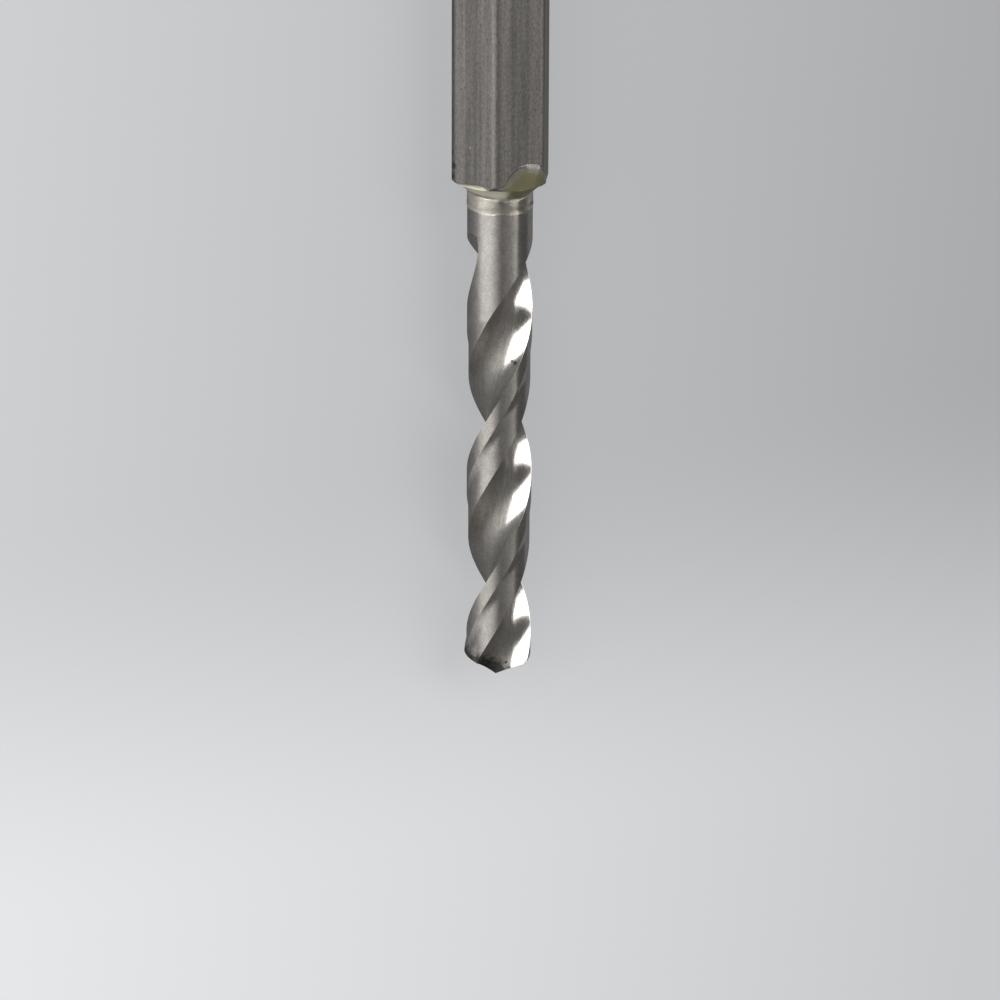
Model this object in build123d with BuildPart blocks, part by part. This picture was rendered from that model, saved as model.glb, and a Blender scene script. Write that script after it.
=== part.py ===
from build123d import *
import math
import os

# A two-flute twist drill bonded into a quarter-inch hexagon shank.
# The bit lies on one flat of its hexagon, with its axis along Y, its point
# towards -Y and its drive end towards +Y. The origin is at the bottom, under
# the middle of the bit. Lengths are in millimetres and angles in degrees.

# Hexagon shank
HEX_ACROSS_FLATS = 6.35
HEX_CORNER_RADIUS = 0.60
HEX_LENGTH = 28.0
HEX_NOSE_ROUNDING = 0.45
DRIVE_CHAMFER_LENGTH = 0.75
DRIVE_CHAMFER_ANGLE = 45.0
GROOVE_FROM_END = 9.5
GROOVE_FLOOR_DIAMETER = 4.95
GROOVE_FLOOR_WIDTH = 1.2
GROOVE_FLANK_ANGLE = 45.0
BORE_DEPTH = 12.0
BORE_BOTTOM_ANGLE = 118.0

# Twist drill
DRILL_DIAMETER = 4.5
DRILL_REACH = 36.5
FLUTE_LENGTH = 32.3
FLUTE_LEAD = 24.0
LEADING_EDGE_AT_POINT = -69.6
WEB_AT_POINT = 1.20
WEB_GROWTH = 0.022
FLUTE_WHEEL_RADIUS = 11.0
MARGIN_ANGLE = 15.0
MARGIN_STEP_ANGLE = 3.0
LAND_ANGLE = 73.0
LAND_CLEARANCE = 0.15
LAND_CLEARANCE_LENGTH = 25.8
LAND_CLEARANCE_FADE = 0.9
SECTION_PITCH = 0.9
CUT_OVERRUN = 0.3
CUT_CLEARANCE = 0.3
POINT_ANGLE = 135.0
LIP_RELIEF = 12.0
HEEL_RELIEF = 32.0
LIP_FACET_WIDTH = 0.55
HIDDEN_END_CHAMFER = 0.3

# Resin squeezed out of the bore
FILLET_DROP = 0.80
FILLET_REACH = 0.78
LOBE_HEIGHT = 0.30
LOBE_RADIUS = 1.50
LOBE_SIDE_SHIFT = 0.60
LOBE_FLAT_ANGLE = 90.0

TOTAL_LENGTH = HEX_LENGTH + DRILL_REACH
AXIS_HEIGHT = HEX_ACROSS_FLATS / 2
POINT_Y = -TOTAL_LENGTH / 2
NOSE_Y = POINT_Y + DRILL_REACH
DRIVE_END_Y = TOTAL_LENGTH / 2
DRILL_RADIUS = DRILL_DIAMETER / 2
FLAT_RADIUS = HEX_ACROSS_FLATS / 2
SHARP_CORNER_RADIUS = FLAT_RADIUS / math.cos(math.radians(30))
CORNER_RADIUS = SHARP_CORNER_RADIUS - HEX_CORNER_RADIUS * (1 / math.cos(math.radians(30)) - 1)
CLEAR_OF_HEX = SHARP_CORNER_RADIUS + 0.5
CLEAR_OF_DRILL = 2 * DRILL_RADIUS
CUT_RADIUS = DRILL_RADIUS + CUT_CLEARANCE
FLUTE_MIDDLE = (LAND_ANGLE + 180) / 2
FLUTE_OPENING = 180 - LAND_ANGLE
LAND_RADIUS = DRILL_RADIUS - LAND_CLEARANCE

bit_axis = Axis((0, 0, AXIS_HEIGHT), (0, 1, 0))
lengthwise = Plane(origin=(0, 0, AXIS_HEIGHT), x_dir=(0, 1, 0), z_dir=(1, 0, 0))


def polar(radius, angle):
    """Point of a cross section at a radius and an angle."""
    return (radius * math.cos(math.radians(angle)), radius * math.sin(math.radians(angle)))


def square_to_axis(y, turn=0.0):
    """Plane square to the axis at y, seen from the point, with its x turned about the axis."""
    direction = (math.cos(math.radians(turn)), 0, -math.sin(math.radians(turn)))
    return Plane(origin=(0, y, AXIS_HEIGHT), x_dir=direction, z_dir=(0, 1, 0))


def turn_at(station):
    """Turn of the leading edge at a distance from the point, along the helix."""
    return LEADING_EDGE_AT_POINT + 360 * station / FLUTE_LEAD


def core_radius(station):
    """Half the web. It grows steadily from the point, then follows the rising wheel."""
    climb = max(station - wheel_lift, 0)
    rise = FLUTE_WHEEL_RADIUS - math.sqrt(FLUTE_WHEEL_RADIUS**2 - climb**2)
    return WEB_AT_POINT / 2 + WEB_GROWTH / 2 * station + rise


def form_radius(station):
    """Radius of the round form that opens a flute from one land to the next."""
    core = core_radius(min(station, wheel_lift))
    chord = DRILL_RADIUS * math.cos(math.radians(FLUTE_OPENING / 2))
    return (DRILL_RADIUS**2 + core**2 - 2 * core * chord) / (2 * (chord - core))


def section_stations(last):
    """Evenly spaced distances for the sections of a winding cut, from just before the point."""
    count = math.ceil(last / SECTION_PITCH) + 1
    return [-SECTION_PITCH + (last + SECTION_PITCH) * i / count for i in range(count + 1)]


# The wheel starts to rise where its own arc then meets the surface at the flute's end
flute_end_depth = DRILL_RADIUS - WEB_AT_POINT / 2 - WEB_GROWTH / 2 * FLUTE_LENGTH
wheel_lift = FLUTE_LENGTH - math.sqrt(FLUTE_WHEEL_RADIUS**2 - (FLUTE_WHEEL_RADIUS - flute_end_depth) ** 2)

# What the flute wheel takes out: a lens, round at its floor, that winds up the drill
with BuildPart() as flute_cut:
    for station in section_stations(FLUTE_LENGTH + CUT_OVERRUN):
        form = form_radius(station)
        core = core_radius(station)
        middle = core + form
        opening_cosine = (CUT_RADIUS**2 + middle**2 - form**2) / (2 * CUT_RADIUS * middle)
        opening = math.degrees(math.acos(opening_cosine))
        left, right = polar(CUT_RADIUS, -opening), polar(CUT_RADIUS, opening)
        with BuildSketch(square_to_axis(POINT_Y + station, turn_at(station) + FLUTE_MIDDLE)):
            with BuildLine():
                ThreePointArc(left, (core, 0), right)
                ThreePointArc(right, (CUT_RADIUS, 0), left)
            make_face()
    loft()

# What clears a land behind its margin: a shallow cut down to a slimmer cylinder
with BuildPart() as clearance_cut:
    step_top = Vector(polar(DRILL_RADIUS, MARGIN_ANGLE))
    step_foot = Vector(polar(LAND_RADIUS, MARGIN_ANGLE + MARGIN_STEP_ANGLE))
    for station in section_stations(LAND_CLEARANCE_LENGTH + 2 * SECTION_PITCH):
        with BuildSketch(square_to_axis(POINT_Y + station, turn_at(station))):
            with BuildLine():
                Polyline(
                    step_foot * 2 - step_top,
                    step_top * 3 - step_foot * 2,
                    polar(CLEAR_OF_DRILL, LAND_ANGLE / 2),
                    polar(CLEAR_OF_DRILL, LAND_ANGLE),
                    polar(DRILL_RADIUS, FLUTE_MIDDLE),
                    polar(LAND_RADIUS / 2, LAND_ANGLE),
                    close=True,
                )
            make_face()
    loft()
    with BuildSketch(lengthwise):
        with BuildLine():
            clearance_end = POINT_Y + LAND_CLEARANCE_LENGTH
            Polyline(
                (POINT_Y - 2 * SECTION_PITCH, 0),
                (POINT_Y - 2 * SECTION_PITCH, LAND_RADIUS),
                (clearance_end, LAND_RADIUS),
                (clearance_end + LAND_CLEARANCE_FADE, DRILL_RADIUS),
                (NOSE_Y, CLEAR_OF_DRILL),
                (NOSE_Y, 0),
                close=True,
            )
        make_face()
    revolve(axis=bit_axis, mode=Mode.SUBTRACT)

with BuildPart() as twist_drill:
    with BuildSketch(square_to_axis(POINT_Y)):
        Circle(DRILL_RADIUS)
    extrude(amount=DRILL_REACH + BORE_DEPTH)
    chamfer(twist_drill.faces().sort_by(Axis.Y)[-1].edges(), HIDDEN_END_CHAMFER)
    for side_turn in (0, 180):
        add(flute_cut.part.rotate(bit_axis, side_turn), mode=Mode.SUBTRACT)
        add(clearance_cut.part.rotate(bit_axis, side_turn), mode=Mode.SUBTRACT)

    # Four ground facets make the point: a narrow lip facet and a steep heel facet on each side
    for side_turn in (0, 180):
        lip_plane = square_to_axis(POINT_Y, LEADING_EDGE_AT_POINT + side_turn)
        for relief, start in ((LIP_RELIEF, 0), (HEEL_RELIEF, LIP_FACET_WIDTH)):
            along = math.tan(math.radians(90 - POINT_ANGLE / 2))
            behind = math.tan(math.radians(relief))
            lift = start * (math.tan(math.radians(LIP_RELIEF)) - behind)
            base = lip_plane.from_local_coords(Vector(0, 0, lift))
            above = lip_plane.from_local_coords(Vector(-along, -behind, lift + 1))
            split(bisect_by=Plane(origin=base, z_dir=above - base), keep=Keep.TOP)
twist_drill.part.label = "twist_drill"

with BuildPart() as hex_shank:
    with BuildSketch(square_to_axis(NOSE_Y)) as hexagon:
        RegularPolygon(SHARP_CORNER_RADIUS, 6)
        fillet(hexagon.vertices(), HEX_CORNER_RADIUS)
    extrude(amount=HEX_LENGTH)
    # Both ends are turned: a small rounding at the nose and a chamfer at the drive end
    with BuildSketch(lengthwise):
        with BuildLine():
            chamfer_rise = DRIVE_CHAMFER_LENGTH * math.tan(math.radians(DRIVE_CHAMFER_ANGLE))
            Polyline(
                (NOSE_Y + HEX_NOSE_ROUNDING, CORNER_RADIUS),
                (NOSE_Y + HEX_NOSE_ROUNDING, CLEAR_OF_HEX),
                (DRIVE_END_Y - DRIVE_CHAMFER_LENGTH, CLEAR_OF_HEX),
                (DRIVE_END_Y - DRIVE_CHAMFER_LENGTH, CORNER_RADIUS),
                (DRIVE_END_Y, CORNER_RADIUS - chamfer_rise),
                (DRIVE_END_Y, 0),
                (NOSE_Y, 0),
                (NOSE_Y, CORNER_RADIUS - HEX_NOSE_ROUNDING),
            )
            RadiusArc(
                (NOSE_Y, CORNER_RADIUS - HEX_NOSE_ROUNDING),
                (NOSE_Y + HEX_NOSE_ROUNDING, CORNER_RADIUS),
                HEX_NOSE_ROUNDING,
            )
        make_face()
    revolve(axis=bit_axis, mode=Mode.INTERSECT)
    # Ring groove that a quick-change chuck's ball drops into
    with BuildSketch(lengthwise):
        groove_depth = CLEAR_OF_HEX - GROOVE_FLOOR_DIAMETER / 2
        groove_mouth = GROOVE_FLOOR_WIDTH + 2 * groove_depth / math.tan(math.radians(GROOVE_FLANK_ANGLE))
        with Locations((DRIVE_END_Y - GROOVE_FROM_END, CLEAR_OF_HEX)):
            Trapezoid(groove_mouth, groove_depth, GROOVE_FLANK_ANGLE, rotation=180, align=(Align.CENTER, Align.MIN))
    revolve(axis=bit_axis, mode=Mode.SUBTRACT)
    # Blind bore with the cone that its drill leaves
    with BuildSketch(lengthwise):
        with BuildLine():
            cone_length = DRILL_RADIUS / math.tan(math.radians(BORE_BOTTOM_ANGLE / 2))
            Polyline(
                (NOSE_Y, 0),
                (NOSE_Y, DRILL_RADIUS),
                (NOSE_Y + BORE_DEPTH, DRILL_RADIUS),
                (NOSE_Y + BORE_DEPTH + cone_length, 0),
                close=True,
            )
        make_face()
    revolve(axis=bit_axis, mode=Mode.SUBTRACT)
hex_shank.part.label = "hex_shank"

# A drop of resin ran up one flat. It is a cap of a large ball, cut round by its own edge.
flat_direction = Vector(
    math.cos(math.radians(LOBE_FLAT_ANGLE)), 0, math.sin(math.radians(LOBE_FLAT_ANGLE))
)
flat_sideways = Vector(0, 1, 0).cross(flat_direction)
lobe_ball_radius = (LOBE_RADIUS**2 + LOBE_HEIGHT**2) / (2 * LOBE_HEIGHT)
lobe_foot = Vector(0, NOSE_Y, AXIS_HEIGHT) + flat_sideways * LOBE_SIDE_SHIFT
on_flat = Plane(origin=lobe_foot, x_dir=(0, 1, 0), z_dir=flat_direction)

with BuildPart() as resin_lobe:
    with BuildSketch(on_flat):
        Circle(LOBE_RADIUS)
    extrude(amount=CLEAR_OF_HEX)
    with Locations(on_flat.offset(FLAT_RADIUS + LOBE_HEIGHT - lobe_ball_radius)):
        Sphere(lobe_ball_radius, mode=Mode.INTERSECT)
    # In front of the nose the drop draws in to the drill
    with BuildSketch(lengthwise):
        with BuildLine():
            Polyline(
                (NOSE_Y - FILLET_DROP, 0),
                (NOSE_Y - FILLET_DROP, DRILL_RADIUS),
                (NOSE_Y, CORNER_RADIUS),
                (NOSE_Y + 2 * LOBE_RADIUS, CORNER_RADIUS),
                (NOSE_Y + 2 * LOBE_RADIUS, 0),
                close=True,
            )
        make_face()
    revolve(axis=bit_axis, mode=Mode.INTERSECT)

with BuildPart() as bond_resin:
    # A collar in the corner between the nose and the drill's neck
    with BuildSketch(lengthwise):
        with BuildLine():
            Polyline(
                (NOSE_Y, DRILL_RADIUS + FILLET_REACH),
                (NOSE_Y, 0),
                (NOSE_Y - FILLET_DROP, 0),
                (NOSE_Y - FILLET_DROP, DRILL_RADIUS),
                close=True,
            )
        make_face()
    revolve(axis=bit_axis)
    add(resin_lobe.part)
    add(hex_shank.part, mode=Mode.SUBTRACT)
    add(twist_drill.part, mode=Mode.SUBTRACT)
bond_resin.part.label = "bond_resin"

os.makedirs("parts", exist_ok=True)
for piece in (twist_drill, hex_shank, bond_resin):
    export_step(piece.part, f"parts/{piece.part.label}.step")
    print(piece.part.label, round(piece.part.volume, 2), piece.part.is_valid, len(piece.part.solids()))
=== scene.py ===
# %% [markdown]
# # A twist drill bonded into a hexagonal shank
# The bit lies on one flat of its hexagon, along Y, with its point towards -Y.
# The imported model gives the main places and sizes. Three pieces are made again
# with finer surfaces: the ground drill, the drawn shank, and the resin that
# holds them together. Then come the finishes, the floor, the lamps and the
# camera.

import math

import bmesh
import bpy
import numpy as np
from mathutils import Matrix, Vector, noise


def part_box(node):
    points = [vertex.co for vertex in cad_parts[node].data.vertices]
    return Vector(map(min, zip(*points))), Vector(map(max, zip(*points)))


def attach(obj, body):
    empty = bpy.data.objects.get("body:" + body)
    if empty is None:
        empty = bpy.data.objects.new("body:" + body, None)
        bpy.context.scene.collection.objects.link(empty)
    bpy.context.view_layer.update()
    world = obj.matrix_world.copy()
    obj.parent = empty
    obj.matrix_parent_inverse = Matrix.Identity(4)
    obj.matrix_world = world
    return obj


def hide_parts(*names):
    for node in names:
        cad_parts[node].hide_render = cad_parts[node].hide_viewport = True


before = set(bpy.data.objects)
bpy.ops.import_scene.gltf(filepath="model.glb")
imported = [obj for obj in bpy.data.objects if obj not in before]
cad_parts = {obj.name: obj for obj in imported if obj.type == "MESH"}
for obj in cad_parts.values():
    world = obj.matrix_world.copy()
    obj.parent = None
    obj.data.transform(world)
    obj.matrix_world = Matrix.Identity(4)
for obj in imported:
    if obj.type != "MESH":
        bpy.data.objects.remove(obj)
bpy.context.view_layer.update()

# %% [markdown]
# ## Sizes
# Blender works in metres, so each size is written in millimetres and turned
# once. The hexagon's and the drill's own boxes give the main measures, and the
# rest are the sizes that the solids were cut with, unless a comment says that
# they were matched to the photo again.

# %% Measures of the bit
MM = 0.001
hex_low, hex_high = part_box("hex_shank")
drill_low, drill_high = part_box("twist_drill")

ACROSS_FLATS = hex_high[2] - hex_low[2]
AXIS_HEIGHT = (hex_high[2] + hex_low[2]) / 2
NOSE_Y, DRIVE_END_Y = hex_low[1], hex_high[1]
POINT_Y, HIDDEN_END_Y = drill_low[1], drill_high[1]
DRILL_RADIUS = (drill_high[0] - drill_low[0]) / 2

FLUTE_LEAD = 24.0 * MM
LEADING_EDGE_AT_POINT = math.radians(-69.6)
print(f"hexagon {ACROSS_FLATS / MM:.2f} mm across flats, drill {2 * DRILL_RADIUS / MM:.2f} mm")


# %% [markdown]
# ## One helper for every node tree
# Geometry trees and material trees are built the same way: add a node, set
# what it does, and fill its inputs with numbers or with other nodes' outputs.

# %% The helper that adds a node
# The kinds that the trees need most. A map range takes a value, the two ends of its range, and
# what they turn into
MATH, VECTOR_MATH = "ShaderNodeMath", "ShaderNodeVectorMath"
MIX, MAP_RANGE = "ShaderNodeMix", "ShaderNodeMapRange"


def add(tree, kind, inputs=(), **settings):
    """Adds a node. inputs maps a socket's name or number to a value or to another node's output."""
    new = tree.nodes.new(kind)
    for name, value in settings.items():
        setattr(new, name, value)
    pairs = inputs.items() if isinstance(inputs, dict) else enumerate(inputs)
    for key, value in pairs:
        sockets = [socket for socket in new.inputs if socket.enabled and socket.name == key]
        socket = sockets[0] if sockets else new.inputs[key]
        if isinstance(value, bpy.types.Node):
            value = next(output for output in value.outputs if output.enabled)
        if isinstance(value, bpy.types.NodeSocket):
            tree.links.new(value, socket)
        else:
            socket.default_value = value
    return new


# %% [markdown]
# ## The ground drill
# A real twist drill starts as a round rod. A formed wheel grinds two round
# flutes that wind up the rod, and lifts out at their end. A second pass
# clears the lands behind narrow margins. The section follows a rule all the
# way, so Geometry Nodes can make it. One grid is half of the surface: its width
# runs round half the section, and its length up the drill. A copy turned by
# half a turn closes the drill.

# %% The tree that winds the flutes
# The flutes' length, the margin with its step, and the lands' clearance were matched again
DRILL_INPUTS = {
    "Point Y": POINT_Y,
    "Axis Height": AXIS_HEIGHT,
    "Radius": DRILL_RADIUS,
    "Start": -0.3 * MM,
    "Flute Length": 32.8 * MM,
    "Full Length": HIDDEN_END_Y - POINT_Y,
    "Lead": FLUTE_LEAD,
    "Leading Edge": LEADING_EDGE_AT_POINT,
    "Half Web": 0.60 * MM,
    "Half Web Growth": 0.011,
    "Wheel Radius": 11.0 * MM,
    "Land Angle": math.radians(73),
    "Margin Angle": math.radians(25),
    "Step Angle": math.radians(16),
    "Clearance": 0.11 * MM,
    "Clearance End": 25.8 * MM,
    "Clearance Fade": 0.9 * MM,
}
# How many grid steps each stretch of the half section gets, and each stretch of the length
MARGIN_STEPS, STEP_STEPS, LAND_STEPS, FLUTE_STEPS = 16, 24, 20, 56
AROUND_STEPS = MARGIN_STEPS + STEP_STEPS + LAND_STEPS + FLUTE_STEPS
FLUTED_STEPS, NECK_STEPS = 280, 12
ALONG_STEPS = FLUTED_STEPS + NECK_STEPS
# Points that are nearer than this where the two halves meet become one
SEAM_DISTANCE = 0.001 * MM


def fluted_tree(name, material):
    """The Geometry Nodes tree that winds two flutes into a round rod."""
    tree = bpy.data.node_groups.new(name, "GeometryNodeTree")
    for label in DRILL_INPUTS:
        tree.interface.new_socket(label, in_out="INPUT", socket_type="NodeSocketFloat")
    tree.interface.new_socket("Geometry", in_out="OUTPUT", socket_type="NodeSocketGeometry")
    size = add(tree, "NodeGroupInput").outputs
    rod_radius, wheel_radius = size["Radius"], size["Wheel Radius"]
    flute_length, land_angle = size["Flute Length"], size["Land Angle"]
    half_web, half_growth = size["Half Web"], size["Half Web Growth"]

    # The grid's place gives how far round and how far along each point is, from 0 to 1
    counts = {"Vertices X": AROUND_STEPS + 1, "Vertices Y": ALONG_STEPS + 1}
    grid = add(tree, "GeometryNodeMeshGrid", counts)
    place = add(tree, "ShaderNodeSeparateXYZ", [add(tree, "GeometryNodeInputPosition")])
    around = add(tree, MATH, [place.outputs["X"], 0.5], operation="ADD")
    along = add(tree, MATH, [place.outputs["Y"], 0.5], operation="ADD")
    fluted_share = FLUTED_STEPS / ALONG_STEPS
    fluted = add(tree, MAP_RANGE, [along, 0.0, fluted_share, size["Start"], flute_length])
    neck_length = add(tree, MATH, [size["Full Length"], flute_length], operation="SUBTRACT")
    neck = add(tree, MAP_RANGE, [along, fluted_share, 1.0, 0.0, neck_length])
    station = add(tree, MATH, [fluted, neck], operation="ADD")

    # Half the web grows steadily, then follows the lifting wheel's arc
    end_web = add(tree, MATH, [half_growth, flute_length, half_web], operation="MULTIPLY_ADD")
    end_depth = add(tree, MATH, [rod_radius, end_web], operation="SUBTRACT")
    wheel_squared = add(tree, MATH, [wheel_radius, 2.0], operation="POWER")
    rest = add(tree, MATH, [wheel_radius, end_depth], operation="SUBTRACT")
    rest_squared = add(tree, MATH, [rest, 2.0], operation="POWER")
    reach_squared = add(tree, MATH, [wheel_squared, rest_squared], operation="SUBTRACT")
    reach = add(tree, MATH, [reach_squared], operation="SQRT")
    lift = add(tree, MATH, [flute_length, reach], operation="SUBTRACT")
    past_lift = add(tree, MATH, [station, lift], operation="SUBTRACT")
    climb = add(tree, "ShaderNodeClamp", [past_lift, 0.0, wheel_radius])
    climb_squared = add(tree, MATH, [climb, 2.0], operation="POWER")
    under_root = add(tree, MATH, [wheel_squared, climb_squared], operation="SUBTRACT")
    root = add(tree, MATH, [under_root], operation="SQRT")
    rise = add(tree, MATH, [wheel_radius, root], operation="SUBTRACT")
    steady_core = add(tree, MATH, [half_growth, station, half_web], operation="MULTIPLY_ADD")
    core = add(tree, MATH, [steady_core, rise], operation="ADD")

    # The round form that just opens the flute from one land to the next
    opening = add(tree, MATH, [math.pi, land_angle], operation="SUBTRACT")
    half_opening = add(tree, MATH, [opening, 0.5], operation="MULTIPLY")
    cosine = add(tree, MATH, [half_opening], operation="COSINE")
    chord = add(tree, MATH, [rod_radius, cosine], operation="MULTIPLY")
    form_station = add(tree, MATH, [station, lift], operation="MINIMUM")
    form_core = add(tree, MATH, [half_growth, form_station, half_web], operation="MULTIPLY_ADD")
    radius_squared = add(tree, MATH, [rod_radius, 2.0], operation="POWER")
    core_squared = add(tree, MATH, [form_core, 2.0], operation="POWER")
    squares = add(tree, MATH, [radius_squared, core_squared], operation="ADD")
    cross = add(tree, MATH, [form_core, chord], operation="MULTIPLY")
    above = add(tree, MATH, [cross, -2.0, squares], operation="MULTIPLY_ADD")
    below = add(tree, MATH, [chord, form_core], operation="SUBTRACT")
    ratio = add(tree, MATH, [above, below], operation="DIVIDE")
    form = add(tree, MATH, [ratio, 0.5], operation="MULTIPLY")
    form_squared = add(tree, MATH, [form, 2.0], operation="POWER")
    centre = add(tree, MATH, [core, form], operation="ADD")
    centre_squared = add(tree, MATH, [centre, 2.0], operation="POWER")

    # Where that form meets the margin's radius and the land's. The flute closes as the wheel lifts
    fade_end = add(tree, MATH, [size["Clearance End"], size["Clearance Fade"]], operation="ADD")
    clearing = [station, size["Clearance End"], fade_end, size["Clearance"], 0.0]
    cleared = add(tree, MAP_RANGE, clearing)
    land = add(tree, MATH, [rod_radius, cleared], operation="SUBTRACT")
    half_angles, form_angles = [], []
    for surface in (rod_radius, land):
        surface_squared = add(tree, MATH, [surface, 2.0], operation="POWER")
        summed = add(tree, MATH, [surface_squared, centre_squared], operation="ADD")
        above = add(tree, MATH, [summed, form_squared], operation="SUBTRACT")
        product = add(tree, MATH, [surface, centre], operation="MULTIPLY")
        below = add(tree, MATH, [product, 2.0], operation="MULTIPLY")
        ratio = add(tree, MATH, [above, below], operation="DIVIDE")
        limited = add(tree, MATH, [ratio, 1.0], operation="MINIMUM")
        half_angle = add(tree, MATH, [limited], operation="ARCCOSINE")
        half_sine = add(tree, MATH, [half_angle], operation="SINE")
        sideways = add(tree, MATH, [surface, half_sine], operation="MULTIPLY")
        outwards = add(tree, MATH, [surface, limited], operation="MULTIPLY")
        inwards = add(tree, MATH, [centre, outwards], operation="SUBTRACT")
        half_angles.append(half_angle)
        form_angles.append(add(tree, MATH, [sideways, inwards], operation="ARCTAN2"))
    flute_middle = add(tree, MATH, [half_opening, land_angle], operation="ADD")
    next_lead = add(tree, MATH, [flute_middle, half_angles[0]], operation="ADD")
    lead = add(tree, MATH, [next_lead, math.pi], operation="SUBTRACT")
    heel = add(tree, MATH, [flute_middle, half_angles[1]], operation="SUBTRACT")

    # How far each point has come over the margin, its step, the land and the flute
    shares = []
    passed = 0
    for steps in (MARGIN_STEPS, STEP_STEPS, LAND_STEPS, FLUTE_STEPS):
        start, end = passed / AROUND_STEPS, (passed + steps) / AROUND_STEPS
        shares.append(add(tree, MAP_RANGE, [around, start, end, 0.0, 1.0]))
        passed += steps

    # Outside, the angle runs over the first three, and the radius drops at the step
    step_end = add(tree, MATH, [size["Margin Angle"], size["Step Angle"]], operation="ADD")
    stops = [lead, size["Margin Angle"], step_end, heel]
    outside_angle = lead
    for share, start, end in zip(shares, stops, stops[1:]):
        width = add(tree, MATH, [end, start], operation="SUBTRACT")
        outside_angle = add(tree, MATH, [share, width, outside_angle], operation="MULTIPLY_ADD")
    to_go = add(tree, MATH, [1.0, shares[1]], operation="SUBTRACT")
    to_go_squared = add(tree, MATH, [to_go, 2.0], operation="POWER")
    eased = add(tree, MATH, [1.0, to_go_squared], operation="SUBTRACT")
    drop = add(tree, MATH, [eased, cleared], operation="MULTIPLY")
    outside_radius = add(tree, MATH, [rod_radius, drop], operation="SUBTRACT")

    # In the flute, the points run round the wheel's form, and no further out than the rod
    form_width = add(tree, MATH, [form_angles[0], form_angles[1]], operation="ADD")
    along_form = add(tree, MATH, [shares[3], form_width], operation="MULTIPLY")
    form_angle = add(tree, MATH, [along_form, form_angles[1]], operation="SUBTRACT")
    form_cosine = add(tree, MATH, [form_angle], operation="COSINE")
    form_sine = add(tree, MATH, [form_angle], operation="SINE")
    inward = add(tree, MATH, [form, form_cosine], operation="MULTIPLY")
    floor_out = add(tree, MATH, [centre, inward], operation="SUBTRACT")
    floor_aside = add(tree, MATH, [form, form_sine], operation="MULTIPLY")
    floor_place = add(tree, "ShaderNodeCombineXYZ", [floor_out, floor_aside])
    floor_radius = add(tree, VECTOR_MATH, [floor_place], operation="LENGTH")
    in_rod = add(tree, MATH, [floor_radius, rod_radius], operation="MINIMUM")
    off_middle = add(tree, MATH, [floor_aside, floor_out], operation="ARCTAN2")
    floor_angle = add(tree, MATH, [flute_middle, off_middle], operation="ADD")
    in_flute = add(tree, MATH, [shares[3], 0.0], operation="GREATER_THAN")
    angle = add(tree, MIX, {"Factor": in_flute, "A": outside_angle, "B": floor_angle})
    radius = add(tree, MIX, {"Factor": in_flute, "A": outside_radius, "B": in_rod})

    # Wind the section up the flutes, and close it with a copy turned by half a turn
    wound_length = add(tree, MATH, [station, flute_length], operation="MINIMUM")
    turns = add(tree, MATH, [wound_length, size["Lead"]], operation="DIVIDE")
    own_turn = add(tree, MATH, [angle, size["Leading Edge"]], operation="ADD")
    turn = add(tree, MATH, [turns, 2 * math.pi, own_turn], operation="MULTIPLY_ADD")
    turn_cosine = add(tree, MATH, [turn], operation="COSINE")
    turn_sine = add(tree, MATH, [turn], operation="SINE")
    x = add(tree, MATH, [radius, turn_cosine], operation="MULTIPLY")
    down = add(tree, MATH, [radius, turn_sine], operation="MULTIPLY")
    z = add(tree, MATH, [size["Axis Height"], down], operation="SUBTRACT")
    y = add(tree, MATH, [size["Point Y"], station], operation="ADD")
    wound = add(tree, "ShaderNodeCombineXYZ", [x, y, z])

    # The finishes differ, so each face keeps whether the flute wheel ground it,
    # and each point how far across the flute it is
    marking = {"Geometry": grid, "Name": "wheel_ground", "Value": in_flute}
    marked = add(tree, "GeometryNodeStoreNamedAttribute", marking, domain="FACE")
    marking = {"Geometry": marked, "Name": "across_flute", "Value": shares[3]}
    marked = add(tree, "GeometryNodeStoreNamedAttribute", marking, domain="POINT")
    half = add(tree, "GeometryNodeSetPosition", {"Geometry": marked, "Position": wound})
    double_height = add(tree, MATH, [size["Axis Height"], 2.0], operation="MULTIPLY")
    # The copy turns about the origin, so it has to be lifted back
    lift_back = add(tree, "ShaderNodeCombineXYZ", {"Z": double_height})
    half_turn = {"Geometry": half, "Translation": lift_back, "Rotation": (0, math.pi, 0)}
    other_half = add(tree, "GeometryNodeTransform", half_turn)
    whole = add(tree, "GeometryNodeJoinGeometry", [half])
    tree.links.new(other_half.outputs[0], whole.inputs[0])
    seam = {"Geometry": whole, "Distance": SEAM_DISTANCE}
    merged = add(tree, "GeometryNodeMergeByDistance", seam)
    real = add(tree, "GeometryNodeRealizeInstances", [merged])
    painted = add(tree, "GeometryNodeSetMaterial", {"Geometry": real, "Material": material})
    add(tree, "NodeGroupOutput", [painted])
    return tree


# %% [markdown]
# The tree runs on an empty object as a modifier. Its result is taken as a
# plain mesh, because the point still has to be ground on it.

# %% Run the tree and take its mesh
def in_scene(name, data):
    """A new object that is in the scene."""
    made = bpy.data.objects.new(name, data)
    bpy.context.scene.collection.objects.link(made)
    return made


def mesh_from_tree(name, tree, values):
    """The plain mesh that a geometry tree makes with these named values."""
    carrier = in_scene(name, bpy.data.meshes.new(name))
    modifier = carrier.modifiers.new(name, "NODES")
    modifier.node_group = tree
    for item in tree.interface.items_tree:
        if item.in_out == "INPUT":
            modifier[item.identifier] = values[item.name]
    evaluated = carrier.evaluated_get(bpy.context.evaluated_depsgraph_get())
    mesh = bpy.data.meshes.new_from_object(evaluated)
    bpy.data.objects.remove(carrier)
    mesh.name = name
    return mesh


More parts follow.
